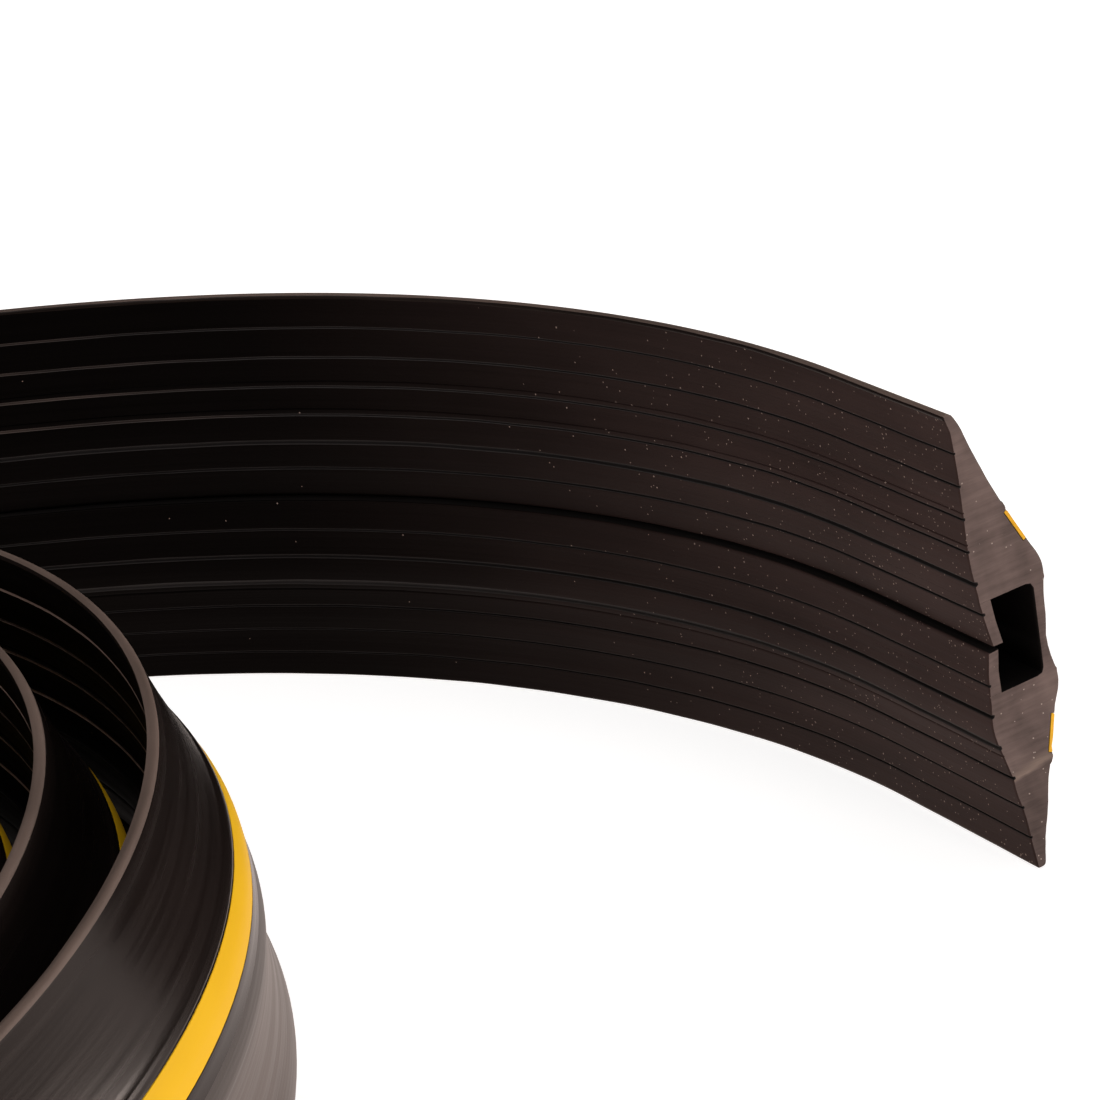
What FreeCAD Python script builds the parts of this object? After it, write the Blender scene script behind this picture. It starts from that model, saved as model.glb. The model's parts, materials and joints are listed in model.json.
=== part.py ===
"""Floor cable protector strip, snap-in type, 3 m long, resting on edge in a loose coil.

One rubber profile with two inlaid stripes is carried along a path of a short straight and
tangent arcs. The base of the profile faces the inside of the coil and the crown faces out.
Millimetres, +Z up. Z runs across the strip's width, and z = 0 is the floor.
"""
import FreeCAD
import Part
import math
import os

V = FreeCAD.Vector

# --- profile: w runs across the strip (0 to WIDTH), h from the base face to the crown ----
WIDTH = 68.0          # across the strip, from edge to edge
MID = WIDTH / 2.0
EDGE_H = 1.0          # height of the square-cut edge
EDGE_TOP = (0.6, 1.5)      # where the rounded edge meets the ramp
EDGE_CHAMFER = 0.3
RAMP_SAG = (8.0, 3.75)     # lowest point of the slightly hollow ramp
STRIPE_OUT = (15.6, 6.9)   # stripe edge nearer the strip's edge
STRIPE_IN = (20.6, 9.2)    # stripe edge nearer the crown
STRIPE_T = 0.5        # depth of the inlaid stripe
SHOULDER = (22.6, 10.1)
CREST = (25.2, 10.8)       # highest line of the strip
CREST_IN = (27.6, 10.5)
DIP_H = 9.7           # height of the hollow between the crests
CHANNEL_W = 14.0      # cable channel
CHANNEL_LOW = 1.8     # thickness of the lips below the channel
CHANNEL_TOP = 8.6
CHANNEL_R = 1.0
SLIT_W = 0.6          # slit between the two lips
GROOVES = (5.3, 10.0, 14.8, 19.5, 24.3, 29.0)   # distance of each base groove from the slit
GROOVE_W = 0.8
GROOVE_D = 0.45
LIP_GAP = 0.1         # cut between a moving lip and the channel wall
LIP_SET = 4.0         # degrees the upper lip has been left pushed in at the cut end

# --- path: a straight at the free end, then arcs (radius of the base face, degrees) ------
LENGTH = 3000.0
END_STRAIGHT = 30.0
TAIL_SEG = 46.0       # length of each flexible piece of the free tail
TAIL_R = (204.0, 224.0, 228.0, 254.0, 290.0)
OUTER_R = (195.0, 181.0, 153.0)   # loose outer turn, north, west and south
COIL_R = 142.0        # first tight quarter turn
COIL_STEP = 3.6       # radius lost on each quarter turn
BODY_GAP = 0.2        # cut between two pieces that turn against each other

os.makedirs("parts", exist_ok=True)


# --- profile outlines --------------------------------------------------------------------
def mirror(p):
    return (WIDTH - p[0], p[1])


def stripe_points():
    """The stripe's section at the lower ramp: outer face first, then the pocket floor."""
    dw, dh = STRIPE_IN[0] - STRIPE_OUT[0], STRIPE_IN[1] - STRIPE_OUT[1]
    run = math.hypot(dw, dh)
    nw, nh = STRIPE_T * dh / run, -STRIPE_T * dw / run
    return [STRIPE_OUT, STRIPE_IN, (STRIPE_IN[0] + nw, STRIPE_IN[1] + nh),
            (STRIPE_OUT[0] + nw, STRIPE_OUT[1] + nh)]


def ramp_side():
    """Edges of the lower half's outside, from the base chamfer up to the crown's hollow."""
    s = stripe_points()
    knee = (0.14, 1.34)
    return [("line", [(EDGE_CHAMFER, 0.0), (0.0, EDGE_CHAMFER), (0.0, EDGE_H)]),
            ("arc", [(0.0, EDGE_H), knee, EDGE_TOP]),
            ("arc", [EDGE_TOP, RAMP_SAG, STRIPE_OUT]),
            ("line", [STRIPE_OUT, s[3], s[2], STRIPE_IN, SHOULDER]),
            ("arc", [SHOULDER, CREST, CREST_IN])]


def base_line(w_from, w_to):
    """Points along the base face from w_from to w_to, with every groove between them."""
    pts = [(w_from, 0.0)]
    lo, hi = min(w_from, w_to), max(w_from, w_to)
    centres = sorted([MID - g for g in GROOVES] + [MID + g for g in GROOVES])
    if w_to < w_from:
        centres.reverse()
    sign = 1.0 if w_to > w_from else -1.0
    for c in centres:
        if lo + GROOVE_W < c < hi - GROOVE_W:
            half = sign * GROOVE_W / 2.0
            pts += [(c - half, 0.0), (c - half * 0.5, GROOVE_D),
                    (c + half * 0.5, GROOVE_D), (c + half, 0.0)]
    return pts + [(w_to, 0.0)]


def channel_side(w_wall, towards_mid):
    """Half of the channel's outline, from the roof at the middle down one wall."""
    r = CHANNEL_R
    k = r * (1.0 - math.sqrt(0.5))
    t = towards_mid
    return [("line", [(MID, CHANNEL_TOP), (w_wall + t * r, CHANNEL_TOP)]),
            ("arc", [(w_wall + t * r, CHANNEL_TOP), (w_wall + t * k, CHANNEL_TOP - k),
                     (w_wall, CHANNEL_TOP - r)])]


def closed_profile():
    """Section of the whole strip with both lips, as (kind, points) runs."""
    lo, hi = MID - CHANNEL_W / 2.0, MID + CHANNEL_W / 2.0
    r = CHANNEL_R
    k = r * (1.0 - math.sqrt(0.5))
    left = channel_side(lo, 1.0)
    right = channel_side(hi, -1.0)
    runs = ramp_side()
    runs.append(("arc", [CREST_IN, (MID, DIP_H), mirror(CREST_IN)]))
    runs += [(kind, [mirror(p) for p in reversed(pts)]) for kind, pts in reversed(ramp_side())]
    runs.append(("line", base_line(WIDTH - EDGE_CHAMFER, MID + SLIT_W / 2.0)))
    runs.append(("line", [(MID + SLIT_W / 2.0, 0.0), (MID + SLIT_W / 2.0, CHANNEL_LOW),
                          (hi - r, CHANNEL_LOW)]))
    runs.append(("arc", [(hi - r, CHANNEL_LOW), (hi - k, CHANNEL_LOW + k),
                         (hi, CHANNEL_LOW + r)]))
    runs.append(("line", [(hi, CHANNEL_LOW + r), (hi, CHANNEL_TOP - r)]))
    runs += [(kind, list(reversed(pts))) for kind, pts in reversed(right)]
    runs += left
    runs.append(("line", [(lo, CHANNEL_TOP - r), (lo, CHANNEL_LOW + r)]))
    runs.append(("arc", [(lo, CHANNEL_LOW + r), (lo + k, CHANNEL_LOW + k),
                         (lo + r, CHANNEL_LOW)]))
    runs.append(("line", [(lo + r, CHANNEL_LOW), (MID - SLIT_W / 2.0, CHANNEL_LOW),
                          (MID - SLIT_W / 2.0, 0.0)]))
    runs.append(("line", base_line(MID - SLIT_W / 2.0, EDGE_CHAMFER)))
    return runs


def open_profile():
    """Section of the strip without its lips, as used where the lips move."""
    lo, hi = MID - CHANNEL_W / 2.0, MID + CHANNEL_W / 2.0
    r = CHANNEL_R
    runs = ramp_side()
    runs.append(("arc", [CREST_IN, (MID, DIP_H), mirror(CREST_IN)]))
    runs += [(kind, [mirror(p) for p in reversed(pts)]) for kind, pts in reversed(ramp_side())]
    runs.append(("line", base_line(WIDTH - EDGE_CHAMFER, hi)))
    runs.append(("line", [(hi, 0.0), (hi, CHANNEL_TOP - r)]))
    runs += [(kind, list(reversed(pts))) for kind, pts in reversed(channel_side(hi, -1.0))]
    runs += channel_side(lo, 1.0)
    runs.append(("line", [(lo, CHANNEL_TOP - r), (lo, 0.0)]))
    runs.append(("line", base_line(lo, EDGE_CHAMFER)))
    return runs


def lip_points(upper):
    """Section of one lip. The upper one is left pushed in by LIP_SET about its root."""
    root = MID - CHANNEL_W / 2.0
    tip = MID - SLIT_W / 2.0
    pts = base_line(root + LIP_GAP, tip - 0.25) + [(tip, 0.25), (tip, CHANNEL_LOW),
                                                   (root + LIP_GAP, CHANNEL_LOW)]
    if not upper:
        return pts
    a = math.radians(LIP_SET)
    turned = []
    for w, h in pts:
        dw, dh = w - root, h - CHANNEL_LOW
        turned.append((root + dw * math.cos(a) - dh * math.sin(a),
                       CHANNEL_LOW + dw * math.sin(a) + dh * math.cos(a)))
    return [mirror(p) for p in turned]


# --- the path ----------------------------------------------------------------------------
def walk():
    """Stations along the path: name, start point, start heading, radius, angle or length."""
    legs = [("end_piece", None, END_STRAIGHT)]
    turned = 0.0
    for i, radius in enumerate(TAIL_R):
        angle = math.degrees(TAIL_SEG / radius)
        turned += angle
        legs.append(("tail_seg_%d" % (i + 1), radius, angle))
    arcs = [(OUTER_R[0], 90.0 - turned), (OUTER_R[1], 90.0), (OUTER_R[2], 90.0)]
    used = END_STRAIGHT + TAIL_SEG * len(TAIL_R)
    used += sum(r * math.radians(a) for r, a in arcs)
    radius = COIL_R
    while used + radius * math.pi / 2.0 < LENGTH:
        arcs.append((radius, 90.0))
        used += radius * math.pi / 2.0
        radius -= COIL_STEP
    arcs.append((radius, math.degrees((LENGTH - used) / radius)))
    for i, (r, a) in enumerate(arcs):
        legs.append(("coil_seg_%02d" % (i + 1), r, a))
    return legs


def stations(x0, y0):
    """Each leg with its start point and heading. The path starts at the free end, along +Y."""
    x, y, heading = x0, y0, 90.0
    out = []
    for name, radius, amount in walk():
        out.append((name, x, y, heading, radius, amount))
        a = math.radians(heading)
        if radius is None:
            x, y = x + amount * math.cos(a), y + amount * math.sin(a)
        else:
            cx, cy = x - radius * math.sin(a), y + radius * math.cos(a)
            heading += amount
            b = math.radians(heading)
            x, y = cx + radius * math.sin(b), cy - radius * math.cos(b)
    out.append(("inner_end", x, y, heading, None, 0.0))
    return out


def origin_shift():
    """Start point that puts the middle of the bounding box at X = Y = 0."""
    spots = stations(0.0, 0.0)
    legs = {s[0]: s for s in spots}
    north = legs["coil_seg_02"][2] + CREST[1]
    west = legs["coil_seg_03"][1] - CREST[1]
    south = legs["coil_seg_04"][2] - CREST[1]
    east = legs["end_piece"][1] + CREST[1]
    return -(east + west) / 2.0, -(north + south) / 2.0


# --- solids ------------------------------------------------------------------------------
def placed(p, x, y, heading):
    """A profile point (w, h) as a point in space at a station."""
    a = math.radians(heading)
    return V(x + p[1] * math.sin(a), y - p[1] * math.cos(a), p[0])


def face_from_runs(runs, x, y, heading):
    edges = []
    for kind, pts in runs:
        spots = [placed(p, x, y, heading) for p in pts]
        if kind == "arc":
            edges.append(Part.Arc(*spots).toShape())
        else:
            edges += [Part.makeLine(a, b) for a, b in zip(spots, spots[1:])
                      if (b - a).Length > 1e-6]
    return Part.Face(Part.Wire(Part.__sortEdges__(edges)))


def carried(runs, station, trim=0.0):
    """The section carried along one leg, stopping trim mm before its far end."""
    name, x, y, heading, radius, amount = station
    face = face_from_runs(runs, x, y, heading)
    a = math.radians(heading)
    if radius is None:
        run = amount - trim
        return face.extrude(V(run * math.cos(a), run * math.sin(a), 0.0))
    centre = V(x - radius * math.sin(a), y + radius * math.cos(a), 0.0)
    return face.revolve(centre, V(0, 0, 1), amount - math.degrees(trim / radius))


def as_solid(shape):
    if shape.ShapeType == "Solid":
        return shape
    return shape.Solids[0]


def joined(shapes):
    whole = shapes[0]
    for s in shapes[1:]:
        whole = whole.fuse(s)
    return as_solid(whole)


def save(shape, name):
    if not shape.isValid():
        raise RuntimeError("not a valid solid: " + name)
    shape.exportStep("parts/%s.step" % name)
    box = shape.BoundBox
    print("%-20s solids %d  volume %9.1f  x %.1f..%.1f y %.1f..%.1f z %.2f..%.2f" % (
        name, len(shape.Solids), shape.Volume, box.XMin, box.XMax, box.YMin, box.YMax,
        box.ZMin, box.ZMax))


START = origin_shift()
LEGS = stations(*START)
TAILS = [leg for leg in LEGS if leg[0].startswith("tail_seg")]
COILS = [leg for leg in LEGS if leg[0].startswith("coil_seg")]
END = LEGS[0]

# the rubber body of the strip
save(as_solid(carried(open_profile(), END)), "end_piece")
for leg in TAILS:
    save(as_solid(carried(closed_profile(), leg, BODY_GAP)), leg[0])
for leg in COILS:
    save(as_solid(carried(closed_profile(), leg)), leg[0])

# the two lips at the cut end, which flex into the channel
for label, is_upper in (("lip_lower", False), ("lip_upper", True)):
    pts = lip_points(is_upper)
    save(as_solid(carried([("line", pts + [pts[0]])], END, BODY_GAP)), label)

# the two inlaid stripes
lower = stripe_points()
for label, pts in (("stripe_lower", lower), ("stripe_upper", [mirror(p) for p in lower])):
    runs = [("line", pts + [pts[0]])]
    first = [carried(runs, END), carried(runs, TAILS[0], BODY_GAP)]
    save(joined([as_solid(s) for s in first]), label + "_1")
    for i, leg in enumerate(TAILS[1:]):
        save(as_solid(carried(runs, leg, BODY_GAP)), "%s_%d" % (label, i + 2))
    save(joined([as_solid(carried(runs, leg)) for leg in COILS]), label + "_coil")

# hinge lines of the tail: on the crest, so that the base side opens as the strip straightens
for leg in LEGS:
    a = math.radians(leg[3])
    print("station %-12s base (%.3f, %.3f) heading %.3f crest (%.3f, %.3f)" % (
        leg[0], leg[1], leg[2], leg[3], leg[1] + CREST[1] * math.sin(a),
        leg[2] - CREST[1] * math.cos(a)))
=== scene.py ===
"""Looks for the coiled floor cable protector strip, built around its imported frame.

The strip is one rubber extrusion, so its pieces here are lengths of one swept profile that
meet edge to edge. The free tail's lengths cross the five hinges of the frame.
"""
import json
import math
import random

import bpy
import numpy as np
from mathutils import Matrix, Vector, noise
from mathutils.geometry import delaunay_2d_cdt


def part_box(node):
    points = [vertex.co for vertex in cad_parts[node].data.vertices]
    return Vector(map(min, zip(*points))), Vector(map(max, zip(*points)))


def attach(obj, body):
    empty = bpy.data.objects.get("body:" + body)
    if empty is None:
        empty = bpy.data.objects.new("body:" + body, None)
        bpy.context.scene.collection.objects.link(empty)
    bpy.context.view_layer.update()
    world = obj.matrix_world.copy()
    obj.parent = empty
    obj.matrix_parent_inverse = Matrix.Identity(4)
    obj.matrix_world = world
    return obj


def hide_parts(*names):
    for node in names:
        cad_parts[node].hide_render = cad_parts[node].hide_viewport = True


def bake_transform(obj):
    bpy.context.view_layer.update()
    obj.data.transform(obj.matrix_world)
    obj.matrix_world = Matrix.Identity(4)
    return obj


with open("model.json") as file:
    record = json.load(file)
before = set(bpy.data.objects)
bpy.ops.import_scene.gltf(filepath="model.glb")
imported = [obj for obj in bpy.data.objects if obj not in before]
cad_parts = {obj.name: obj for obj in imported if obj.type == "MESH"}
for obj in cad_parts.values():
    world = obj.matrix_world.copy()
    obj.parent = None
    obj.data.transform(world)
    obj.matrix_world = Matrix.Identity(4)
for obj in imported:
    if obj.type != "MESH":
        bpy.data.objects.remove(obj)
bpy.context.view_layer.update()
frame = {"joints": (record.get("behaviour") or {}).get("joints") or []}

MM = 0.001

# --- the path of the strip's base face, in mm from the cut end ---------------------------
END_STRAIGHT = 30.0
TAIL_SEG = 46.0
TAIL_R = (204.0, 224.0, 228.0, 254.0, 290.0)
OUTER_R = (195.0, 181.0, 153.0)
COIL_R = 142.0
COIL_STEP = 3.6
LENGTH = 3000.0
X0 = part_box("end_piece")[0][0] / MM
Y0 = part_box("end_piece")[0][1] / MM


def legs():
    """Legs of the path as (length, radius or None, start x, start y, start heading)."""
    out = []
    x, y, a, used = X0, Y0, math.pi / 2.0, 0.0
    turns = [TAIL_SEG / r for r in TAIL_R]
    plan = [(END_STRAIGHT, None)] + [(TAIL_SEG, r) for r in TAIL_R]
    plan += [(OUTER_R[0] * (math.pi / 2.0 - sum(turns)), OUTER_R[0])]
    plan += [(r * math.pi / 2.0, r) for r in OUTER_R[1:]]
    radius = COIL_R
    total = sum(p[0] for p in plan)
    while total < LENGTH:
        run = min(radius * math.pi / 2.0, LENGTH - total)
        plan.append((run, radius))
        total += run
        radius -= COIL_STEP
    for run, radius in plan:
        out.append((used, run, radius, x, y, a))
        if radius is None:
            x, y = x + run * math.cos(a), y + run * math.sin(a)
        else:
            cx, cy = x - radius * math.sin(a), y + radius * math.cos(a)
            a += run / radius
            x, y = cx + radius * math.sin(a), cy - radius * math.cos(a)
        used += run
    return out


LEGS = legs()


def station(s):
    """(x, y, heading) of the base line s mm from the cut end."""
    leg = LEGS[0]
    for candidate in LEGS:
        if s >= candidate[0]:
            leg = candidate
    start, run, radius, x, y, a = leg
    d = s - start
    if radius is None:
        return x + d * math.cos(a), y + d * math.sin(a), a
    b = a + d / radius
    cx, cy = x - radius * math.sin(a), y + radius * math.cos(a)
    return cx + radius * math.sin(b), cy - radius * math.cos(b), b


def spot(s, w, h):
    """A profile point as a point in the row frame, in metres."""
    x, y, a = station(s)
    return ((x + h * math.sin(a)) * MM, (y - h * math.cos(a)) * MM, w * MM)


# --- the profile, w across and h out from the base face, in mm ----------------------------
WIDTH = 68.0
MID = 34.0
CH_LO, CH_HI = 27.0, 41.0
LIP_T = 1.8
CH_TOP = 8.6
SLIT = 0.6
ROOT_GAP = 0.02     # between a moving lip and the strip
LIP_HALF = 3.3      # from a lip's root to about its middle
GROOVES = (5.3, 10.0, 14.8, 19.5, 24.3, 29.0)
CORNER_R, CORNER_MID = 1.0, 0.293   # the channel's corners: radius, and their middle's inset
# the zones, one of which picks each face's material
CROWN, BASE, CHANNEL, CUT, GROOVE, EDGE, CLEAN, TREAD = range(8)


def through(p0, pm, p1, n):
    """n + 1 points on the circle through three points."""
    (ax, ay), (bx, by), (cx, cy) = p0, pm, p1
    d = 2.0 * (ax * (by - cy) + bx * (cy - ay) + cx * (ay - by))
    if abs(d) < 1e-9:
        return [(ax + (cx - ax) * i / n, ay + (cy - ay) * i / n) for i in range(n + 1)]
    a2, b2, c2 = ax * ax + ay * ay, bx * bx + by * by, cx * cx + cy * cy
    ox = (a2 * (by - cy) + b2 * (cy - ay) + c2 * (ay - by)) / d
    oy = (a2 * (cx - bx) + b2 * (ax - cx) + c2 * (bx - ax)) / d
    r = math.hypot(ax - ox, ay - oy)
    t0, tm, t1 = (math.atan2(y - oy, x - ox) for x, y in (p0, pm, p1))
    tau = 2.0 * math.pi
    sweep = (t1 - t0) % tau
    if (tm - t0) % tau > sweep:
        sweep -= tau
    return [(ox + r * math.cos(t0 + sweep * i / n), oy + r * math.sin(t0 + sweep * i / n))
            for i in range(n + 1)]


def mirror(points):
    return [(WIDTH - w, h) for w, h in reversed(points)]


STRIPE_OUT, STRIPE_IN = (15.6, 6.9), (20.6, 9.2)    # the two edges of the stripe's face
BED = (0.209, -0.454)       # from its face to its bed, 0.5 mm below


def ramp_half():
    """Outside of the lower half, from the base corner of the edge to the crest."""
    edge = [(0.35, 0.0), (0.1, 0.1), (0.0, 0.35), (0.0, 0.75), (0.05, 1.02), (0.24, 1.32),
            (0.6, 1.5)]
    ramp = []
    for w, h in through((0.6, 1.5), (8.0, 3.75), STRIPE_OUT, 18)[1:-1]:
        if w < 13.8:
            ramp.append((w, h))
    bead = [(14.05, 6.18), (14.2, 6.36), (14.4, 6.5), (15.1, 6.82), (15.3, 6.86), (15.45, 6.80),
            STRIPE_OUT]
    pocket = [(STRIPE_OUT[0] + BED[0], STRIPE_OUT[1] + BED[1]),
              (STRIPE_IN[0] + BED[0], STRIPE_IN[1] + BED[1]), STRIPE_IN]
    shoulder = [(20.75, 9.3), (21.6, 9.66)]
    crest = through((22.6, 10.1), (25.2, 10.8), (27.6, 10.5), 8)
    return edge + ramp + bead + pocket + shoulder + crest


# the grooves of each half, from the slit outwards: half width, depth, and the distance and
# depth of a shallower line beside it, or two zeros
LOWER_GROOVES = ((0.20, 0.26, 0.0, 0.0), (0.34, 0.40, 0.0, 0.0), (0.46, 0.26, 1.3, 0.10),
                 (0.22, 0.34, 0.0, 0.0), (0.20, 0.28, 0.0, 0.0), (0.20, 0.26, 0.0, 0.0))
UPPER_GROOVES = ((0.24, 0.38, 0.0, 0.0), (0.42, 0.45, 0.0, 0.0), (0.22, 0.26, 1.0, 0.16),
                 (0.20, 0.22, 0.9, 0.14), (0.20, 0.24, 0.0, 0.0), (0.18, 0.20, 0.0, 0.0))
FLAT_MARGIN, FLAT_STEP = 0.25, 1.3
LIP_ROUND, ROUND_MID = 0.22, 0.07   # a lip's tip at the slit: radius, and its middle's inset
DUST_AND_HIGHLIGHT_FROM = 12.0       # the upper half's grooves further than this from the slit are pale: settled dust and a painted highlight of their lit walls
LINE_HALF = 0.15        # half width of a shallower line
FOOT = 0.35             # where the flat base meets the rounding of the strip's edge


def flat_run(a, b):
    """Evenly spaced points on the flat base, from just after w = a to just before w = b."""
    margin = math.copysign(FLAT_MARGIN, b - a)
    a, b = a + margin, b - margin
    n = max(1, int(round(abs(b - a) / FLAT_STEP)))
    return [(a + (b - a) * i / n, 0.0, BASE) for i in range(n + 1)]


def base_half(tip_w, styles=LOWER_GROOVES):
    """Base face of the lower half from the slit side at tip_w down to the edge, with the
    zone of the face that follows each point. The outer grooves of the upper half are the pale
    ones, with settled dust and a painted highlight."""
    at = tip_w - LIP_ROUND
    pts = [(tip_w, LIP_ROUND, BASE), (tip_w - ROUND_MID, ROUND_MID, BASE), (at, 0.0, BASE)]
    for g, (half, depth, beside, shallow) in zip(GROOVES, styles):
        c = MID - g
        # the pale groove walls carry settled dust and a painted highlight
        wall = GROOVE if styles is UPPER_GROOVES and g > DUST_AND_HIGHLIGHT_FROM else CLEAN
        eased_half, eased_depth, bottom = half * 0.7, depth * 0.12, half * 0.28
        pts += flat_run(at, c + half)
        pts += [(c + half, 0.0, wall), (c + eased_half, eased_depth, wall),
                (c + bottom, depth, wall), (c - bottom, depth, wall),
                (c - eased_half, eased_depth, wall), (c - half, 0.0, BASE)]
        at = c - half
        if beside:
            at = c - beside - LINE_HALF
            pts += [(c - beside + LINE_HALF, 0.0, BASE), (c - beside, shallow, BASE),
                    (at, 0.0, BASE)]
    return pts + flat_run(at, FOOT)


def rounded_channel():
    """The channel from the lower lip's root up the wall and along the roof to the middle."""
    r, k = CORNER_R, CORNER_MID
    return [(CH_LO + r, LIP_T), (CH_LO + k, LIP_T + k), (CH_LO, LIP_T + r),
            (CH_LO, CH_TOP - r), (CH_LO + k, CH_TOP - k), (CH_LO + r, CH_TOP)]


def tagged(points, zone):
    return [(w, h, zone) for w, h in points]


TREAD_TOP = 44.5    # the lighter tread ends short of the upper stripe
EDGE_REACH, EDGE_FROM = 0.6, 0.2    # the pale edge, a painted highlight: how far in, and from what height


def crown(points):
    """Tagged points of the outside: edges with a painted highlight, ramps, and the tread between
    the stripes.
    """
    out = []
    for w, h in points:
        zone = CROWN
        if min(w, WIDTH - w) < EDGE_REACH and h > EDGE_FROM:
            zone = EDGE
        elif STRIPE_IN[0] <= w < TREAD_TOP:
            zone = TREAD
        out.append((w, h, zone))
    return out


def flip(points):
    """Tagged points of the lower half mirrored to the upper half, in reverse order."""
    turned = points[::-1]
    zones = [p[2] for p in turned[1:]] + [BASE]
    return [(WIDTH - w, h, z) for (w, h, _), z in zip(turned, zones)]


# the shallow hollow between the crests
HOLLOW = through((27.6, 10.5), (34.0, 9.7), (40.4, 10.5), 8)[1:-1]


def whole_profile():
    """The strip's section with both lips, as one loop of (w, h, zone of the next face)."""
    outer = ramp_half()
    tip = MID - SLIT / 2.0
    channel = rounded_channel()
    lip_in = [(tip - 0.8, LIP_T), (tip, LIP_T)]
    loop = crown(outer + HOLLOW + mirror(outer))
    loop += flip(base_half(tip, UPPER_GROOVES))
    loop += tagged([(WIDTH - w, h) for w, h in reversed(lip_in)], CHANNEL)
    loop += tagged([(WIDTH - w, h) for w, h in channel], CHANNEL)
    loop += tagged(channel[::-1] + lip_in, CHANNEL)
    loop += base_half(tip)
    return loop


def open_profile():
    """The strip's section without its lips, for the straight end where they move."""
    outer = ramp_half()
    tip = MID - SLIT / 2.0
    low = [p for p in base_half(tip) if p[0] < CH_LO - 0.01]
    high = [p for p in base_half(tip, UPPER_GROOVES) if p[0] < CH_LO - 0.01]
    side = [(CH_LO, 0.0), (CH_LO, LIP_T)] + rounded_channel()[3:]
    loop = crown(outer + HOLLOW + mirror(outer))
    loop += flip(high)
    loop += tagged([(WIDTH - w, h) for w, h in side], CHANNEL)
    loop += tagged(side[:0:-1], CHANNEL) + [(CH_LO, 0.0, BASE)]
    loop += low
    return loop


def lip_profile(upper):
    """The section of one lip, a hair clear of the strip at its root."""
    styles = UPPER_GROOVES if upper else LOWER_GROOVES
    tip, root = MID - SLIT / 2.0, CH_LO + ROOT_GAP
    base = [p for p in base_half(tip, styles) if p[0] > root + 0.01]
    loop = base + tagged([(root, 0.0), (root, LIP_T), (root + LIP_HALF, LIP_T),
                          (tip, LIP_T)], CHANNEL)
    return flip(loop) if upper else loop


def stripe_profile(upper):
    """The inlaid stripe with eased edges."""
    (nw, nh), (ow, oh), (iw, ih) = BED, STRIPE_OUT, STRIPE_IN
    loop = [(ow + 0.02 + nw * 0.3, oh + nh * 0.3), (ow + 0.14, oh + 0.055)]
    loop += [(ow + (iw - ow) * t, oh + (ih - oh) * t + 0.03 * math.sin(math.pi * t))
             for t in (0.15, 0.35, 0.5, 0.65, 0.85)]
    loop += [(iw - 0.14, ih - 0.07), (iw - 0.02 + nw * 0.3, ih + nh * 0.3),
             (iw + nw - 0.02, ih + nh + 0.02), (ow + nw + 0.02, oh + nh + 0.02)]
    if upper:
        loop = [(WIDTH - w, h) for w, h in loop]
    return tagged(loop, CROWN)


# --- shape changes along the strip ---------------------------------------------------------
def between(table, w):
    """Smooth value at w through a table of (w, value)."""
    for (w0, v0), (w1, v1) in zip(table, table[1:]):
        if w <= w1:
            t = min(max((w - w0) / (w1 - w0), 0.0), 1.0)
            return v0 + (v1 - v0) * t * t * (3.0 - 2.0 * t)
    return table[-1][1]


LIP_SET = 0.50      # how far the tip of the upper lip has been pushed in


def lips_set(s, w, h):
    """The upper lip has been pushed in a little, so that the slit shows as a step."""
    if not (h < LIP_T + 0.05 and MID < w < CH_HI):
        return 0.0
    wave = 0.10 * noise.noise(Vector((s * 0.02, 3.1, 0.0)))
    return (LIP_SET + wave) * ((CH_HI - w) / (CH_HI - MID)) ** 1.3


# how far the two halves of the base bulge out of its plane, by w
BULGE = ((0.0, 0.0), (8.0, 0.0), (14.0, 0.6), (22.0, 1.5), (28.0, 1.1), (33.8, 0.6),
         (34.2, 0.1), (39.0, 0.25), (47.0, 0.6), (57.0, 0.1), (60.0, 0.0), (68.0, 0.0))
# wound up, the thin roof over the channel is pulled in between the two ramps
PULL = 2.4
PULL_S = (150.0, 520.0)         # where along the strip it sets in, and is whole
PULL_W_UPPER = (9.5, 17.5)      # distance from the slit where it starts to fade, and ends
PULL_W_LOWER = (14.0, 30.0)
# and the middle of the strip hangs a little below the line between its two edges
SAG_END, SAG_COIL = 0.5, 2.3
SAG_S = (10.0, 280.0)
CREST = 10.8


def eased(x, x0, x1):
    """0 before x0, 1 after x1, and smooth between them."""
    t = min(max((x - x0) / (x1 - x0), 0.0), 1.0)
    return t * t * (3.0 - 2.0 * t)


def shift_out(s, w, h):
    """The change of h at a place on the strip."""
    wound = eased(s, *PULL_S)
    reach = PULL_W_UPPER if w > MID else PULL_W_LOWER
    pull = PULL * wound * (1.0 - eased(abs(w - MID), *reach)) * (0.4 + 0.6 * h / CREST)
    bulge = between(BULGE, w) * (1.0 - 0.6 * h / CREST) * (1.0 - 0.8 * wound)
    return lips_set(s, w, h) - pull - bulge


def sagged(s, w):
    """w after the sag."""
    sag = SAG_END + (SAG_COIL - SAG_END) * eased(s, *SAG_S)
    return w - sag * (1.0 - ((w - MID) / MID) ** 4)


# how far the cut runs back along the strip, by w: it was made in two strokes, which meet
# where the value steps up, about 15 mm from the lower edge
CUT_BACK = ((0.0, -1.7), (5.0, -1.2), (13.0, -0.30), (14.3, -0.40), (15.6, 0.15), (22.0, 0.9),
            (30.0, 0.7), (34.5, 0.1), (41.0, 0.4), (49.0, 0.6), (60.0, 0.3), (65.5, 0.4),
            (68.0, 1.5))
CUT_MEAN = 0.35     # how far the whole cut stands back
CUT_FADE = 14.0     # how far along the strip its unevenness reaches
SLANT = 0.12        # how the strokes lean: mm across for each mm out


def cut_wobble(w, h):
    """How far the cut end stands back from a flat plane, in mm."""
    tilt = w - SLANT * h
    slow = 0.35 * noise.noise(Vector((w * 0.08, h * 0.1, 5.0)))
    fine = 0.06 * noise.noise(Vector((w * 1.4, h * 0.5, 9.0)))
    return between(CUT_BACK, tilt) + slow + fine


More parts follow.
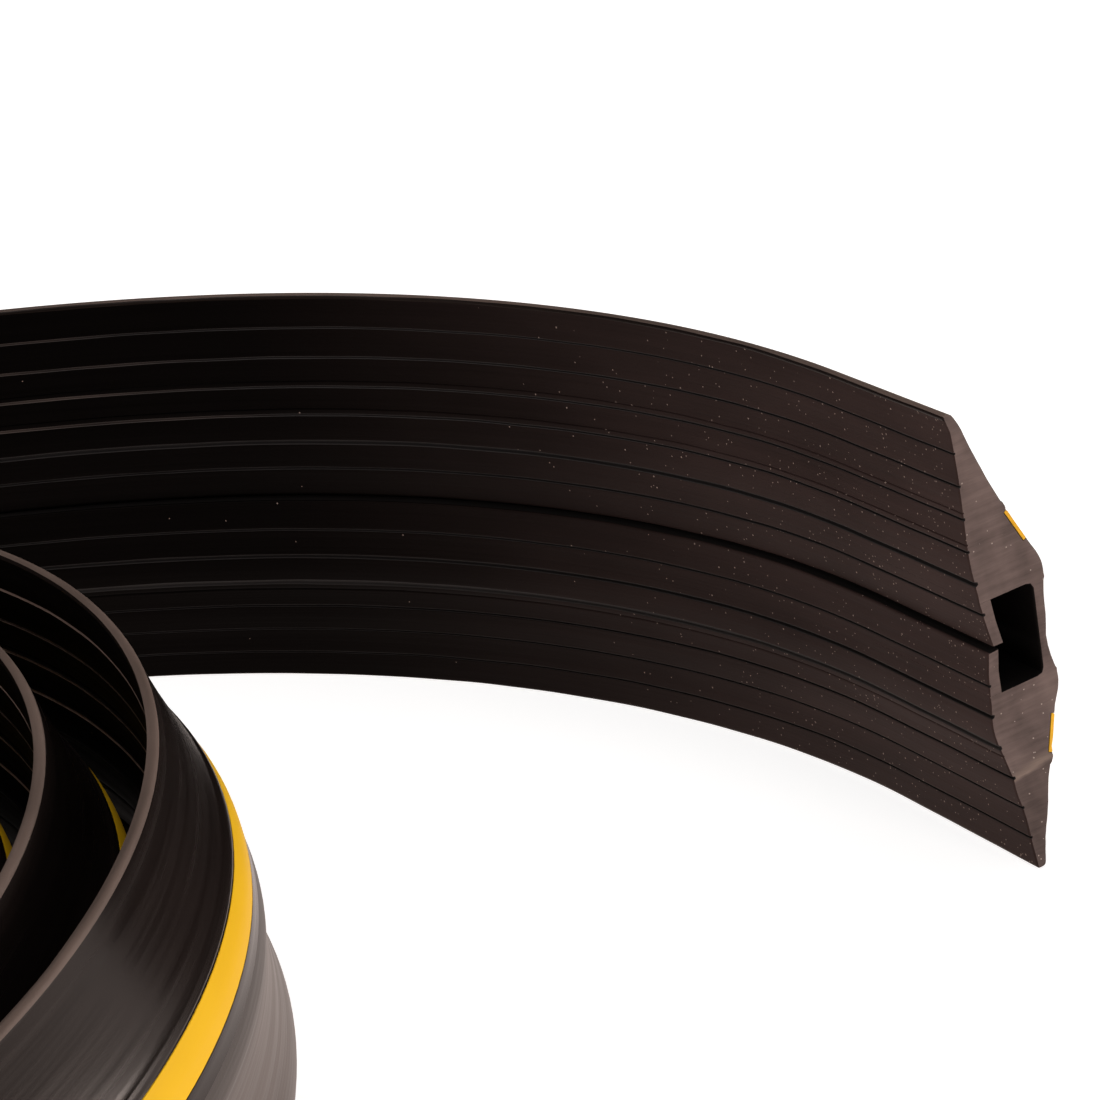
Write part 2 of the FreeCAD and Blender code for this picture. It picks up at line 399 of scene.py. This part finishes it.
def ragged(s, w, h):
    """Grooves and edges of the base wander a little, as on rubber that has been handled."""
    if h > 0.5:
        return w
    return w + 0.09 * noise.noise(Vector((s * 0.09, w * 0.9, 2.0)))


def place(s, w, h):
    """A profile point in metres, with every change of shape."""
    fade = max(0.0, 1.0 - s / CUT_FADE)
    return spot(s + fade * (CUT_MEAN + cut_wobble(w, h)), sagged(s, ragged(s, w, h)),
                h + shift_out(s, w, h))


# --- meshes --------------------------------------------------------------------------------
def turning(loop, j):
    """Angle between the two profile sides that meet at point j."""
    a, b, c = loop[j - 1], loop[j], loop[(j + 1) % len(loop)]
    v1, v2 = (b[0] - a[0], b[1] - a[1]), (c[0] - b[0], c[1] - b[1])
    return abs(math.atan2(v1[0] * v2[1] - v1[1] * v2[0], v1[0] * v2[0] + v1[1] * v2[1]))


def cap(loop, spacing):
    """Points and triangles that fill the loop, with inner points on a loose grid, and which
    of the loop's points each point came from."""
    rng = random.Random(7)
    outline = [Vector(p) for p in loop]
    ws, hs = [p.x for p in outline], [p.y for p in outline]
    inner = []
    if spacing:
        w = min(ws) + spacing * 0.5
        while w < max(ws):
            h = min(hs) + spacing * 0.5
            while h < max(hs):
                inner.append(Vector((w + rng.uniform(-0.2, 0.2) * spacing,
                                     h + rng.uniform(-0.2, 0.2) * spacing)))
                h += spacing
            w += spacing
        inner = [p for p in inner if inside(p, outline) and clear(p, outline, spacing * 0.3)]
    n = len(outline)
    got = delaunay_2d_cdt(outline + inner, [], [list(range(n))], 1, 1e-5)
    return got[0], got[2], got[3]


EDGE_WEAR = 0.12    # mm taken off the rim of the cut face
SHARP_TURN = math.radians(38.0)     # a corner of the profile that turns more is a sharp edge


def inset(loop, gap):
    """The loop's points moved inwards by gap. At a lip's root they keep their w, so that the
    lip and the strip still meet there."""
    out = []
    for j, point in enumerate(loop):
        before, after = loop[j - 1], loop[(j + 1) % len(loop)]
        n = Vector((before[1] - after[1], after[0] - before[0]))
        if n.length:
            n = n.normalized() * gap
        at_root = min(abs(point[0] - CH_LO), abs(point[0] - CH_HI)) < 0.05
        inwards = n.y if not at_root or point[1] < 0.1 else 0.0
        out.append((point[0] + (0.0 if at_root else n.x), point[1] + inwards))
    return out


def inside(p, outline):
    """Whether p is inside the closed outline."""
    hit = False
    for i, a in enumerate(outline):
        b = outline[i - 1]
        if (a.y > p.y) != (b.y > p.y):
            if p.x < (b.x - a.x) * (p.y - a.y) / (b.y - a.y) + a.x:
                hit = not hit
    return hit


def clear(p, outline, gap):
    """Whether p is further than gap from every point of the outline."""
    return min((p - a).length for a in outline) > gap


def ring_is_ccw(loop):
    return sum(loop[i - 1][0] * loop[i][1] - loop[i][0] * loop[i - 1][1]
               for i in range(len(loop))) > 0


def sides(loop, front, stations_mm):
    """Vertices, faces, zones, UVs and sharp edges of a loop carried along the strip. front is
    the loop's shape at the first station."""
    n = len(loop)
    verts, faces, zones, uvs, sharp = [], [], [], [], []
    across = [(w + 0.7 * h) * MM for w, h, _ in loop]
    hard = [j for j in range(n) if turning(loop, j) > SHARP_TURN]
    for s in stations_mm:
        shape = front if s == stations_mm[0] else [p[:2] for p in loop]
        verts += [place(s, w, h) for w, h in shape]
    for k in range(len(stations_mm) - 1):
        u0, u1 = stations_mm[k] * MM, stations_mm[k + 1] * MM
        for j in range(n):
            j2 = (j + 1) % n
            faces.append((k * n + j, k * n + j2, (k + 1) * n + j2, (k + 1) * n + j))
            zones.append(loop[j][2])
            v0, v1 = across[j], across[j2]
            uvs += [(u0, v0), (u0, v1), (u1, v1), (u1, v0)]
        sharp += [(k * n + j, (k + 1) * n + j) for j in hard]
    return verts, faces, zones, uvs, sharp


def close_end(part, rim, ring, s, spacing, first):
    """Adds an end face at s to the part, on the rim whose first vertex is ring."""
    verts, faces, zones, uvs, sharp = part
    n = len(rim)
    points, tris, origin = cap(rim, spacing)
    index = []
    for p, came in zip(points, origin):
        if came and came[0] < n:
            index.append(ring + came[0])
        else:
            index.append(len(verts))
            verts.append(place(s, p.x, p.y))
    for tri in tris:
        ids = [index[i] for i in tri]
        flat = [points[i] for i in tri]
        if ring_is_ccw(flat) == first:
            ids.reverse()
            flat.reverse()
        faces.append(tuple(ids))
        zones.append(CUT)
        uvs += [(p.x * MM, p.y * MM) for p in flat]
    sharp += [(ring + j, ring + (j + 1) % n) for j in range(n)]


def sweep(loop, stations_mm, caps=(0.0, 0.0)):
    """A closed part: the loop carried along the strip. caps gives the spacing of the inner
    points on its first and last end face, or 0 for none; the first is worn if it has any."""
    n = len(loop)
    if not ring_is_ccw(loop):
        loop = [(*loop[n - 1 - j][:2], loop[(n - 2 - j) % n][2]) for j in range(n)]
    front = inset(loop, EDGE_WEAR) if caps[0] else [p[:2] for p in loop]
    part = sides(loop, front, stations_mm)
    close_end(part, front, 0, stations_mm[0], caps[0], True)
    outline = [p[:2] for p in loop]
    close_end(part, outline, (len(stations_mm) - 1) * n, stations_mm[-1], caps[1], False)
    return part


def make_piece(name, parts, materials):
    """One mesh object from one or more closed parts. A zone past the last material takes
    the last one, as the cut face of a stripe does."""
    verts, faces, zones, uvs, sharp = [], [], [], [], []
    for v, f, z, t, e in parts:
        k = len(verts)
        verts += v
        faces += [tuple(i + k for i in face) for face in f]
        zones += z
        uvs += t
        sharp += [(a + k, b + k) for a, b in e]
    mesh = bpy.data.meshes.new(name)
    mesh.from_pydata(verts, [], faces)
    for m in materials:
        mesh.materials.append(m)
    layer = mesh.uv_layers.new(name="UVMap")
    layer.data.foreach_set("uv", np.array(uvs, np.float32).ravel())
    slots = [min(z, len(materials) - 1) for z in zones]
    mesh.polygons.foreach_set("material_index", np.array(slots, np.int32))
    mesh.polygons.foreach_set("use_smooth", np.ones(len(faces), bool))
    wanted = {(min(a, b), max(a, b)) for a, b in sharp}
    flags = [tuple(sorted(e.vertices)) in wanted for e in mesh.edges]
    mesh.edges.foreach_set("use_edge_sharp", np.array(flags, bool))
    mesh.validate()
    mesh.update()
    obj = bpy.data.objects.new(name, mesh)
    bpy.context.scene.collection.objects.link(obj)
    return obj


# --- materials -------------------------------------------------------------------------------
WARM = (1.0, 0.86, 0.80)                    # tint of the light bounced off the floor
PAINTED_SHADE_U = (-0.02, 0.165)                     # m along the strip over which the base darkens away from the cut end: painted shade
SHOULDER_V = (0.0450, 0.0520)               # m across over which the tread darkens
DUST = (0.20, 0.155, 0.135)
DUST_SIZES = ((800.0, 0.11), (1500.0, 0.16))        # cells per metre, a speck's radius in cells
DUST_FAR, DUST_REACH = 0.997, 0.12          # share of cells without a speck beyond so many m
CUT_DUST = (0.32, 0.27, 0.24)
CUT_DUST_SIZES = ((1500.0, 0.17),)
STROKES = (0.0148, 0.0154, 0.0168)          # m across: start, peak and end of the pale line
STROKE_LINE = (0.26, 0.20, 0.165)


def node(tree, kind, at, **values):
    """A new node, with its inputs and properties set by name."""
    n = tree.nodes.new(kind)
    n.location = at
    for key, value in values.items():
        if key in n.inputs:
            n.inputs[key].default_value = value
        else:
            setattr(n, key, value)
    return n


def calc(tree, at, operation, *terms):
    """A Math node of numbers and other nodes' outputs."""
    n = node(tree, "ShaderNodeMath", at, operation=operation)
    for socket, term in zip(n.inputs, terms):
        if isinstance(term, float):
            socket.default_value = term
        else:
            tree.links.new(term, socket)
    return n.outputs[0]


def remap(tree, at, value, source, result, kind="LINEAR"):
    """The value carried from the range source to the range result."""
    n = node(tree, "ShaderNodeMapRange", at, interpolation_type=kind)
    for key, number in zip(("From Min", "From Max", "To Min", "To Max"), (*source, *result)):
        n.inputs[key].default_value = number
    tree.links.new(value, n.inputs["Value"])
    return n.outputs[0]


def ramp(tree, at, value, low, dark, high, light):
    """A colour that goes from dark at the value low to light at the value high."""
    n = node(tree, "ShaderNodeValToRGB", at)
    for element, position, color in zip(n.color_ramp.elements, (low, high), (dark, light)):
        element.position = position
        element.color = (*color, 1.0)
    tree.links.new(value, n.inputs["Fac"])
    return n.outputs["Color"]


def scaled(tree, at, color, factor):
    """The colour times a factor."""
    n = node(tree, "ShaderNodeVectorMath", at, operation="SCALE")
    tree.links.new(color, n.inputs[0])
    tree.links.new(factor, n.inputs["Scale"])
    return n.outputs[0]


def mixed(tree, at, color, other, share):
    """The colour with a share of another colour over it."""
    n = node(tree, "ShaderNodeMix", at, data_type="RGBA")
    n.inputs["B"].default_value = (*other, 1.0)
    tree.links.new(share, n.inputs["Factor"])
    tree.links.new(color, n.inputs["A"])
    return n.outputs["Result"]


def stretched(tree, scale, at):
    """The UV coordinates scaled, so that noise can run in lines."""
    uv = node(tree, "ShaderNodeUVMap", (at[0] - 400, at[1]), uv_map="UVMap")
    m = node(tree, "ShaderNodeMapping", (at[0] - 200, at[1]), Scale=scale)
    tree.links.new(uv.outputs["UV"], m.inputs["Vector"])
    return m.outputs["Vector"]


def uneven(tree, at, u_scale, v_scale, detail, roughness=0.5):
    """Noise with u_scale and v_scale cells per metre of the two UV coordinates."""
    n = node(tree, "ShaderNodeTexNoise", at, Scale=1.0, Detail=detail, Roughness=roughness)
    tree.links.new(stretched(tree, (u_scale, v_scale, 1.0), at), n.inputs["Vector"])
    return n.outputs["Fac"]


def uv_axes(tree, at):
    """The UV coordinates in metres: along the strip and across it, or on a cut face across
    it and out."""
    uv = node(tree, "ShaderNodeUVMap", (at[0] - 400, at[1]), uv_map="UVMap")
    split = node(tree, "ShaderNodeSeparateXYZ", (at[0] - 200, at[1]))
    tree.links.new(uv.outputs["UV"], split.inputs[0])
    return split.outputs


def along(tree, at, near_value, far_value, u0, u1, axis=0):
    """A value that goes smoothly from near_value at u0 to far_value at u1 (m), along the
    strip or, for axis 1, across it."""
    u = uv_axes(tree, at)[axis]
    return remap(tree, at, u, (u0, u1), (near_value, far_value), "SMOOTHSTEP")


def dusted(tree, color, amount, tint, sizes):
    """Small pale specks over a colour, most of them near the cut end."""
    for k, (cells_per_m, size) in enumerate(sizes):
        y = -600 - 400 * k
        cells = node(tree, "ShaderNodeTexVoronoi", (-300, y), Scale=1.0, feature="F1")
        at = stretched(tree, (cells_per_m, cells_per_m, 1.0), (-300, y))
        tree.links.new(at, cells.inputs["Vector"])
        small = calc(tree, (-60, y + 40), "LESS_THAN", cells.outputs["Distance"], size)
        pick = node(tree, "ShaderNodeSeparateColor", (-60, y - 100))
        tree.links.new(cells.outputs["Color"], pick.inputs[0])
        rarity = along(tree, (-300, y - 200), 1.0 - amount, DUST_FAR, 0.0, DUST_REACH)
        some = calc(tree, (100, y - 100), "GREATER_THAN", pick.outputs[0], rarity)
        speck = calc(tree, (260, y), "MULTIPLY", small, some)
        color = mixed(tree, (380, y + 200), color, tint, speck)
    return color


def principled(name, specular):
    """A new material, its node tree and its shader."""
    mat = bpy.data.materials.new(name)
    mat.use_nodes = True
    bsdf = mat.node_tree.nodes["Principled BSDF"]
    bsdf.inputs["Specular IOR Level"].default_value = specular
    return mat, mat.node_tree, bsdf


def relief(tree, bsdf, height, strength, depth):
    """Bumps on the surface."""
    bump = node(tree, "ShaderNodeBump", (380, -300), Strength=strength, Distance=depth)
    tree.links.new(height, bump.inputs["Height"])
    tree.links.new(bump.outputs[0], bsdf.inputs["Normal"])


def rubber(name, dark, light, rough, streak=1.0, dust=0.0, depth=0.00012, specular=0.5,
           far=None, shoulder=None):
    """Extruded rubber: faint lengthwise lines, uneven sheen, and dust where asked. far is
    how bright the colour still is away from the cut end, where it darkens as painted shade, and
    shoulder how bright it is beside the upper stripe."""
    mat, t, bsdf = principled(name, specular)
    bsdf.inputs["Specular Tint"].default_value = (*WARM, 1.0)
    lines = uneven(t, (-300, 300), 9.0, 900.0, 4.0, 0.6)
    blotches = uneven(t, (-300, 0), 22.0, 70.0, 3.0, 0.55)
    grain = uneven(t, (-300, -300), 1500.0, 2600.0, 2.0)
    mix = calc(t, (-60, 200), "MULTIPLY_ADD", lines, 0.55 * streak, blotches)
    color = ramp(t, (130, 200), mix, 0.45, dark, 1.0, light)
    # painted shade: the colour darkens away from the cut end
    if far is not None:
        color = scaled(t, (300, 500), color, along(t, (100, 500), 1.0, far, *PAINTED_SHADE_U))
    if shoulder is not None:
        fade = along(t, (100, 700), 1.0, shoulder, *SHOULDER_V, axis=1)
        color = scaled(t, (300, 700), color, fade)
    if dust:
        color = dusted(t, color, dust, DUST, DUST_SIZES)
    t.links.new(color, bsdf.inputs["Base Color"])
    sheen = remap(t, (130, -100), lines, (0.3, 0.7), (rough - 0.07, rough + 0.09))
    t.links.new(sheen, bsdf.inputs["Roughness"])
    relief(t, bsdf, calc(t, (130, -350), "MULTIPLY_ADD", grain, 0.25, lines), 0.6, depth)
    return mat


def grooved(name, near_color, far_color, rough):
    """Groove walls: one colour near the cut end and another further along, in patches. For the
    pale outer grooves of the upper half, the dark near the cut end is painted shade, and the pale
    colour further along is settled dust and a painted highlight.
    """
    mat, t, bsdf = principled(name, 0.3)
    bsdf.inputs["Roughness"].default_value = rough
    patches = uneven(t, (-500, 200), 30.0, 260.0, 3.0)
    far_share = along(t, (-400, -100), 0.0, 2.6, 0.06, 0.62)
    share = calc(t, (-200, 200), "MULTIPLY", patches, far_share)
    t.links.new(ramp(t, (0, 200), share, 0.1, near_color, 0.9, far_color), bsdf.inputs["Base Color"])
    return mat


def two_strokes(tree, color, marks, patches):
    """The pale line where two strokes of the blade meet, the face below it darkened as a
    painted shade of its other slant, and specks of dust."""
    start, peak, stop = STROKES
    w, h = uv_axes(tree, (-500, -400))[:2]
    slant = calc(tree, (-500, -400), "MULTIPLY_ADD", h, -SLANT, w)
    wavy = calc(tree, (-300, -400), "MULTIPLY_ADD", patches, 0.0022, slant)
    # painted shade: the face of the lower stroke is darkened
    shade = remap(tree, (-100, -400), wavy, (start, peak), (0.78, 1.0))
    rise = remap(tree, (-100, -1000), wavy, (start, peak), (0.0, 1.0))
    fall = remap(tree, (-100, -700), wavy, (peak, stop), (1.0, 0.0), "SMOOTHSTEP")
    line = calc(tree, (100, -550), "MULTIPLY", fall, rise)
    share = calc(tree, (300, -550), "MULTIPLY", line, marks)
    lined = mixed(tree, (500, 0), scaled(tree, (300, 100), color, shade), STROKE_LINE, share)
    return dusted(tree, lined, 0.16, CUT_DUST, CUT_DUST_SIZES)


def sawn(name, dark, light, strokes=False):
    """The cut face: matt, with marks of the blade across the thickness."""
    mat, t, bsdf = principled(name, 0.15)
    bsdf.inputs["Roughness"].default_value = 0.75
    marks = uneven(t, (-300, 200), 1100.0, 110.0, 4.0, 0.65)
    patches = uneven(t, (-300, -100), 90.0, 160.0, 3.0)
    both = calc(t, (-60, 50), "MULTIPLY_ADD", marks, 0.6, patches)
    color = ramp(t, (130, 100), both, 0.45, dark, 1.0, light)
    if strokes:
        color = two_strokes(t, color, marks, patches)
    t.links.new(color, bsdf.inputs["Base Color"])
    relief(t, bsdf, marks, 0.7, 0.00018)
    return mat


CROWN_MAT = rubber("rubber_crown", (0.0025, 0.0019, 0.0018), (0.0110, 0.0080, 0.0072), 0.22,
                   depth=0.00003, specular=0.18)
# far darkens the base away from the cut end as painted shade
BASE_MAT = rubber("rubber_base", (0.020, 0.0125, 0.0115), (0.042, 0.0270, 0.0250), 0.50,
                  dust=0.32, specular=0.03, far=0.02)
CHANNEL_MAT = rubber("rubber_channel", (0.003, 0.003, 0.003), (0.007, 0.006, 0.006), 0.7,
                     specular=0.1)
CUT_MAT = sawn("rubber_cut", (0.050, 0.037, 0.034), (0.150, 0.112, 0.102), strokes=True)
# pale groove walls: settled dust and a painted highlight, kept dark near the cut end as painted
# shade
GROOVE_MAT = grooved("rubber_groove", (0.005, 0.0034, 0.0034), (0.22, 0.155, 0.130), 0.55)
CLEAN_MAT = grooved("rubber_groove_clean", (0.005, 0.0034, 0.0034), (0.006, 0.005, 0.0045), 0.7)
TREAD_MAT = rubber("rubber_tread", (0.0050, 0.0040, 0.0037), (0.045, 0.034, 0.030), 0.40,
                   streak=1.7, specular=0.60, shoulder=0.08)
# a paler colour on the strip's edges: painted highlight
EDGE_HIGHLIGHT_MAT = rubber("rubber_edge_highlight", (0.024, 0.017, 0.014), (0.125, 0.092, 0.078), 0.55,
                  streak=1.3, specular=0.22)
YELLOW_MAT = rubber("rubber_yellow", (0.66, 0.380, 0.006), (0.77, 0.470, 0.012), 0.55,
                    streak=0.4, depth=0.00005, specular=0.10)
YELLOW_CUT = sawn("rubber_yellow_cut", (0.55, 0.28, 0.01), (0.85, 0.48, 0.04))
# in the order of the zones
BLACK = [CROWN_MAT, BASE_MAT, CHANNEL_MAT, CUT_MAT, GROOVE_MAT, EDGE_HIGHLIGHT_MAT, CLEAN_MAT, TREAD_MAT]
YELLOW = [YELLOW_MAT, YELLOW_CUT]


# --- pieces ----------------------------------------------------------------------------------
def steps(s0, s1, step):
    """Stations from s0 to s1, about step apart."""
    n = max(1, int(round((s1 - s0) / step)))
    return [s0 + (s1 - s0) * i / n for i in range(n + 1)]


END_STATIONS = [0.0, 0.15, 0.5, 1.2, 2.2, 3.6, 5.2, 7.0, 9.0]
END_STEP, FLEX_STEP, COIL_RUN_STEP = 2.0, 1.5, 3.5
LIP_STEP = 1.0
CAP_GRID = 0.9      # spacing of the inner points on the cut faces
# the rubber behind a lip's root: its stations, its steps over the lip's travel, the root's
# two corners with the share of their distance to the hinge that it keeps, and its UV step
FILL_STATIONS = [0.25, 1.2, 2.2] + steps(3.6, END_STRAIGHT - 1.0, 2.0)
FILL_TURNS = 6
FILL_BASE, FILL_CHANNEL = (0.0, 0.95), (LIP_T, 1.04)
FILL_UV = 0.3
MIDS = [END_STRAIGHT + TAIL_SEG / 2.0 + TAIL_SEG * i for i in range(5)]    # of the tail bodies
IN_COIL = END_STRAIGHT + 5 * TAIL_SEG + TAIL_SEG / 2.0
BENDS = list(zip(MIDS, MIDS[1:] + [IN_COIL]))       # the lengths that cross a hinge


def from_cut(stop, step):
    """Stations from the cut end to stop, closer together near the cut."""
    return END_STATIONS + steps(END_STATIONS[-1], stop, step)[1:]


def bend(obj):
    """Bakes the placement of obj, a length that crosses a hinge, into its mesh."""
    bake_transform(obj)


def stands_for(obj, slot, *nodes):
    """Hides the nodes that obj replaces. slot is not used."""
    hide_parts(*nodes)


def outwards(verts, faces, uvs):
    """The quads and their UVs, turned over if they face inwards."""
    volume = 0.0
    for face in faces:
        a, b, c, d = (Vector(verts[i]) for i in face)
        volume += a.dot(b.cross(c)) + a.dot(c.cross(d))
    if volume < 0.0:
        return [f[::-1] for f in faces], [uv[::-1] for uv in uvs]
    return faces, uvs


def root_fill(side, upper):
    """The rubber behind a lip's root: the root carried back round the lip's hinge, inside the
    strip, so that no gap opens there when the lip bends."""
    joint = next(j for j in frame["joints"] if j["name"] == "lip_%s_flex" % side)
    hinge, axis = Vector(joint["pos_m"]), Vector(joint["axis"])
    limit = math.radians(joint["range_deg"][1])
    root = CH_HI if upper else CH_LO
    turns = [limit * k / FILL_TURNS for k in range(FILL_TURNS + 1)]
    verts, faces, zones, uvs = [], [], [], []
    for s in FILL_STATIONS:
        for (h, keep), angles in ((FILL_BASE, turns), (FILL_CHANNEL, turns[::-1])):
            corner = Vector(place(s, root, h))
            centre = Vector((hinge.x, corner.y, hinge.z))
            for angle in angles:
                arm = Matrix.Rotation(-angle, 3, axis) @ ((corner - centre) * keep)
                verts.append(tuple(centre + arm))
    n = 2 * len(turns)
    for k in range(len(FILL_STATIONS) - 1):
        u0, u1 = FILL_STATIONS[k] * MM, FILL_STATIONS[k + 1] * MM
        for j in range(n):
            j2 = (j + 1) % n
            faces.append((k * n + j, k * n + j2, (k + 1) * n + j2, (k + 1) * n + j))
            zones.append(BASE)
            v0, v1 = (root - FILL_UV * j) * MM, (root - FILL_UV * (j + 1)) * MM
            uvs.append([(u0, v0), (u0, v1), (u1, v1), (u1, v0)])
    last = (len(FILL_STATIONS) - 1) * n
    u = root * MM
    for ring, flipped in ((0, True), (last, False)):
        for k in range(FILL_TURNS):
            quad = (ring + k, ring + k + 1, ring + n - 2 - k, ring + n - 1 - k)
            faces.append(quad[::-1] if flipped else quad)
            zones.append(CUT)
            uvs.append([(u, 0.0), (u, MM), (u + MM, MM), (u + MM, 0.0)])
    faces, uvs = outwards(verts, faces, uvs)
    return verts, faces, zones, [p for uv in uvs for p in uv], []


whole = whole_profile()
end = make_piece("strip_end", [
    sweep(open_profile(), from_cut(END_STRAIGHT, END_STEP), caps=(CAP_GRID, 0.0)),
    sweep(whole, steps(END_STRAIGHT, MIDS[0], END_STEP))], BLACK)
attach(end, "tail_1")
stands_for(end, "black_rubber", "end_piece", "tail_seg_1")

for i, (s0, s1) in enumerate(BENDS):
    piece = make_piece("strip_flex_%d" % (i + 1), [sweep(whole, steps(s0, s1, FLEX_STEP))], BLACK)
    bend(piece)
    stands_for(piece, "black_rubber", "tail_seg_%d" % (i + 2) if i < 4 else "coil_seg_01")

coil = make_piece("strip_coil", [
    sweep(whole, steps(IN_COIL, LENGTH, COIL_RUN_STEP), caps=(0.0, CAP_GRID))], BLACK)
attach(coil, "coil")
stands_for(coil, "black_rubber", *["coil_seg_%02d" % k for k in range(1, 15)])

for side, upper in (("lower", False), ("upper", True)):
    lip = make_piece("lip_" + side, [
        sweep(lip_profile(upper), from_cut(END_STRAIGHT, LIP_STEP), caps=(CAP_GRID, 0.0)),
        root_fill(side, upper)], BLACK)
    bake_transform(lip)
    stands_for(lip, "black_rubber", "lip_" + side)

    shape = stripe_profile(upper)
    first = make_piece("stripe_%s_end" % side, [sweep(shape, from_cut(MIDS[0], END_STEP))],
                       YELLOW)
    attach(first, "tail_1")
    stands_for(first, "yellow_stripe", "stripe_%s_1" % side)
    for i, (s0, s1) in enumerate(BENDS):
        part = make_piece("stripe_%s_flex_%d" % (side, i + 1),
                          [sweep(shape, steps(s0, s1, FLEX_STEP))], YELLOW)
        bend(part)
        stands_for(part, "yellow_stripe",
                   "stripe_%s_%d" % (side, i + 2) if i < 4 else "stripe_%s_coil" % side)
    rest = make_piece("stripe_%s_run" % side,
                      [sweep(shape, steps(IN_COIL, LENGTH, COIL_RUN_STEP))], YELLOW)
    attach(rest, "coil")
    stands_for(rest, "yellow_stripe", "stripe_%s_coil" % side)


# --- floor, lights and camera ------------------------------------------------------------------
FLOOR_HALF, FLOOR_DROP = 6.0, 0.0003        # m
WHITE, NEAR_WHITE = (1.0, 1.0, 1.0), (1.0, 0.95, 0.92)
LIGHTS = (      # name, place, target, size, power and colour
    ("above", (0.3, -0.3, 2.2), (0.05, 0.0, 0.0), (1.6, 1.6), 20.0, NEAR_WHITE),
    ("left", (-1.9, 0.1, 0.9), (0.1, 0.0, 0.03), (1.2, 0.8), 26.0, (1.0, 0.93, 0.90)),
    ("right", (1.9, -0.5, 0.35), (0.0, -0.05, 0.03), (0.9, 0.5), 22.0, (1.0, 0.91, 0.86)),
    ("front", (0.3, -2.2, 0.7), (0.15, 0.0, 0.03), (0.8, 0.6), 14.0, (1.0, 0.94, 0.92)))
CAMERA_AT = (-0.06441, -0.53596, 0.27408)
HEADING, PITCH, ROLL = (math.radians(d) for d in (65.5465, -22.2654, 12.9143))
LENS = 136.77


def glow(tree, kind, at, color, strength):
    """An emission or background shader."""
    return node(tree, kind, at, Color=(*color, 1.0), Strength=strength).outputs[0]


def either(tree, at, ray, yes, no):
    """One shader for rays of a kind, and another for all other rays."""
    kinds = node(tree, "ShaderNodeLightPath", (at[0] - 200, at[1] + 400))
    choice = node(tree, "ShaderNodeMixShader", at)
    tree.links.new(kinds.outputs[ray], choice.inputs[0])
    tree.links.new(no, choice.inputs[1])
    tree.links.new(yes, choice.inputs[2])
    return choice.outputs[0]


# the camera sees a pale floor; the rubber is lit by a warmer one
pale = bpy.data.materials.new("floor_pale")
pale.use_nodes = True
tree = pale.node_tree
tree.nodes.clear()
shown = node(tree, "ShaderNodeBsdfPrincipled", (0, 100), Roughness=0.9)
shown.inputs["Base Color"].default_value = (0.6, 0.6, 0.6, 1.0)
shown.inputs["Emission Color"].default_value = (*WHITE, 1.0)
shown.inputs["Emission Strength"].default_value = 0.8
bounce = glow(tree, "ShaderNodeEmission", (0, -400), WARM, 1.3)
glint = glow(tree, "ShaderNodeEmission", (0, -600), WARM, 1.0)
unseen = either(tree, (150, -400), "Is Glossy Ray", glint, bounce)
surface = either(tree, (300, 0), "Is Camera Ray", shown.outputs[0], unseen)
tree.links.new(surface, node(tree, "ShaderNodeOutputMaterial", (500, 0)).inputs[0])

corners = [(x * FLOOR_HALF, y * FLOOR_HALF, 0) for x, y in ((-1, -1), (1, -1), (1, 1), (-1, 1))]
floor_mesh = bpy.data.meshes.new("floor")
floor_mesh.from_pydata(corners, [], [(0, 1, 2, 3)])
floor_mesh.materials.append(pale)
floor = bpy.data.objects.new("floor", floor_mesh)
floor.location.z = -FLOOR_DROP
bpy.context.scene.collection.objects.link(floor)

world = bpy.data.worlds.new("studio")
world.use_nodes = True
tree = world.node_tree
tree.nodes.clear()
seen = glow(tree, "ShaderNodeBackground", (0, 100), WHITE, 1.0)
fill = glow(tree, "ShaderNodeBackground", (0, -100), NEAR_WHITE, 0.02)
backdrop = either(tree, (250, 0), "Is Camera Ray", seen, fill)
tree.links.new(backdrop, node(tree, "ShaderNodeOutputWorld", (450, 0)).inputs[0])
bpy.context.scene.world = world
bpy.context.scene.view_settings.view_transform = "Standard"

for name, at, target, size, power, color in LIGHTS:
    data = bpy.data.lights.new(name, "AREA")
    data.shape = "RECTANGLE"
    data.size, data.size_y = size
    data.energy = power
    data.color = color
    light = bpy.data.objects.new(name, data)
    light.location = at
    light.rotation_euler = (Vector(target) - Vector(at)).to_track_quat("-Z", "Y").to_euler()
    bpy.context.scene.collection.objects.link(light)

cam_data = bpy.data.cameras.new("camera")
cam_data.sensor_width = 36.0
cam_data.lens = LENS
cam_data.clip_start = 0.01
camera = bpy.data.objects.new("camera", cam_data)
ahead = Vector((math.cos(PITCH) * math.cos(HEADING), math.cos(PITCH) * math.sin(HEADING),
                math.sin(PITCH)))
level = Vector((math.sin(HEADING), -math.cos(HEADING), 0.0))
right = Matrix.Rotation(ROLL, 3, ahead) @ level
turn = Matrix((right, right.cross(ahead), -ahead)).transposed()
camera.matrix_world = Matrix.Translation(CAMERA_AT) @ turn.to_4x4()
bpy.context.scene.collection.objects.link(camera)
bpy.context.scene.camera = camera
